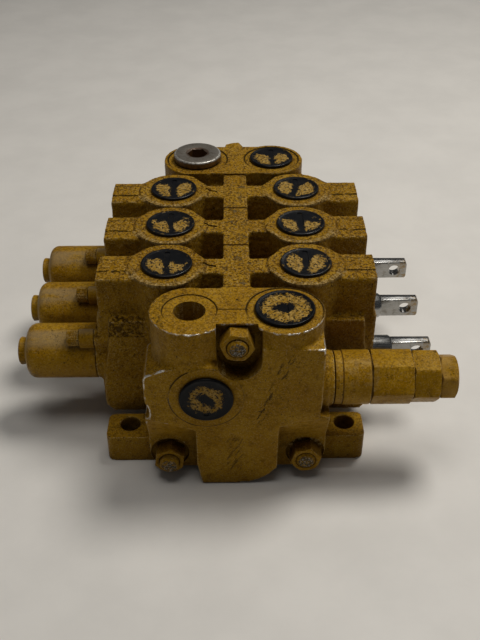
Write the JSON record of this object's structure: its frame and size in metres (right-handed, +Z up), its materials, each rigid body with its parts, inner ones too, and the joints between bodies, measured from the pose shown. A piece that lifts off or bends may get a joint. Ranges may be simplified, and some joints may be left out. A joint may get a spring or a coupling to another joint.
{
  "type": "sectional directional control valve",
  "caption": "Painted cast-iron stack valve with end covers, work sections, tie rods, spring-centred spools with drilled eyes, a relief valve and capped ports.",
  "frame": {"origin": "on the bench under the middle of the valve's box", "axes": "+X from the spool caps to the spool eyes, +Y from the inlet cover to the outlet cover, +Z up through the work ports"},
  "size_m": [0.2538, 0.2348, 0.115],
  "materials": {
    "paint": "satin ochre paint over sand-cast iron, worn at the edges",
    "steel": "bare steel, dull and slightly rusted",
    "chrome": "ground and plated",
    "plastic": "semi-gloss black with paint overspray",
    "rubber": "matte",
    "spring_steel": "oiled spring wire"
  },
  "bodies": {
    "housing": {"inlet_cover": "paint", "outlet_cover": "paint", "work_section_1": "paint", "work_section_2": "paint", "work_section_3": "paint", "spool_cap_1": "paint", "spool_cap_2": "paint", "spool_cap_3": "paint", "spool_cap_screw_1_upper": "paint", "spool_cap_screw_1_lower": "paint", "spool_cap_screw_2_upper": "paint", "spool_cap_screw_2_lower": "paint", "spool_cap_screw_3_upper": "paint", "spool_cap_screw_3_lower": "paint", "front_nut_top": "paint", "front_nut_left": "paint", "front_nut_right": "paint", "rear_nut_top": "paint", "rear_nut_left": "paint", "rear_nut_right": "paint", "relief_body": "paint", "relief_lock_nut": "paint", "relief_adjuster": "paint", "outlet_socket_plug": "steel", "tie_rod_top": "steel", "tie_rod_left": "steel", "tie_rod_right": "steel", "inner_collar_1": "steel", "outer_collar_1": "steel", "inner_collar_2": "steel", "outer_collar_2": "steel", "inner_collar_3": "steel", "outer_collar_3": "steel", "port_cap_1_left": "plastic", "port_cap_1_right": "plastic", "port_cap_2_left": "plastic", "port_cap_2_right": "plastic", "port_cap_3_left": "plastic", "port_cap_3_right": "plastic", "inlet_top_cap": "plastic", "outlet_top_cap": "plastic", "inlet_front_cap": "plastic", "spool_seal_1": "rubber", "spool_seal_2": "rubber", "spool_seal_3": "rubber", "centring_spring_1": "spring_steel", "centring_spring_2": "spring_steel", "centring_spring_3": "spring_steel", "load_check_spring_1": "spring_steel", "load_check_spring_2": "spring_steel", "load_check_spring_3": "spring_steel", "relief_spring": "spring_steel"},
    "spool_1": {"spool_1": "chrome"},
    "spool_2": {"spool_2": "chrome"},
    "spool_3": {"spool_3": "chrome"},
    "load_check_1": {"load_check_poppet_1": "steel"},
    "load_check_2": {"load_check_poppet_2": "steel"},
    "load_check_3": {"load_check_poppet_3": "steel"},
    "relief_poppet": {"relief_poppet": "steel"}
  },
  "joints": [
    {"name": "spool_1_slide", "type": "slide", "parent": "housing", "child": "spool_1", "axis": [1, 0, 0], "range_m": [-0.008, 0.008], "stiffness_N_per_m": 8000, "deforming": ["centring_spring_1", "inner_collar_1", "outer_collar_1"]},
    {"name": "spool_2_slide", "type": "slide", "parent": "housing", "child": "spool_2", "axis": [1, 0, 0], "range_m": [-0.008, 0.008], "stiffness_N_per_m": 8000, "deforming": ["centring_spring_2", "inner_collar_2", "outer_collar_2"]},
    {"name": "spool_3_slide", "type": "slide", "parent": "housing", "child": "spool_3", "axis": [1, 0, 0], "range_m": [-0.008, 0.008], "stiffness_N_per_m": 8000, "deforming": ["centring_spring_3", "inner_collar_3", "outer_collar_3"]},
    {"name": "load_check_1_lift", "type": "slide", "parent": "housing", "child": "load_check_1", "axis": [0, 1, 0], "range_m": [0, 0.003], "stiffness_N_per_m": 600, "springref_m": -0.003, "deforming": ["load_check_spring_1"]},
    {"name": "load_check_2_lift", "type": "slide", "parent": "housing", "child": "load_check_2", "axis": [0, 1, 0], "range_m": [0, 0.003], "stiffness_N_per_m": 600, "springref_m": -0.003, "deforming": ["load_check_spring_2"]},
    {"name": "load_check_3_lift", "type": "slide", "parent": "housing", "child": "load_check_3", "axis": [0, 1, 0], "range_m": [0, 0.003], "stiffness_N_per_m": 600, "springref_m": -0.003, "deforming": ["load_check_spring_3"]},
    {"name": "relief_lift", "type": "slide", "parent": "housing", "child": "relief_poppet", "axis": [1, 0, 0], "range_m": [0, 0.0025], "stiffness_N_per_m": 20000, "springref_m": -0.003, "deforming": ["relief_spring"]}
  ]
}
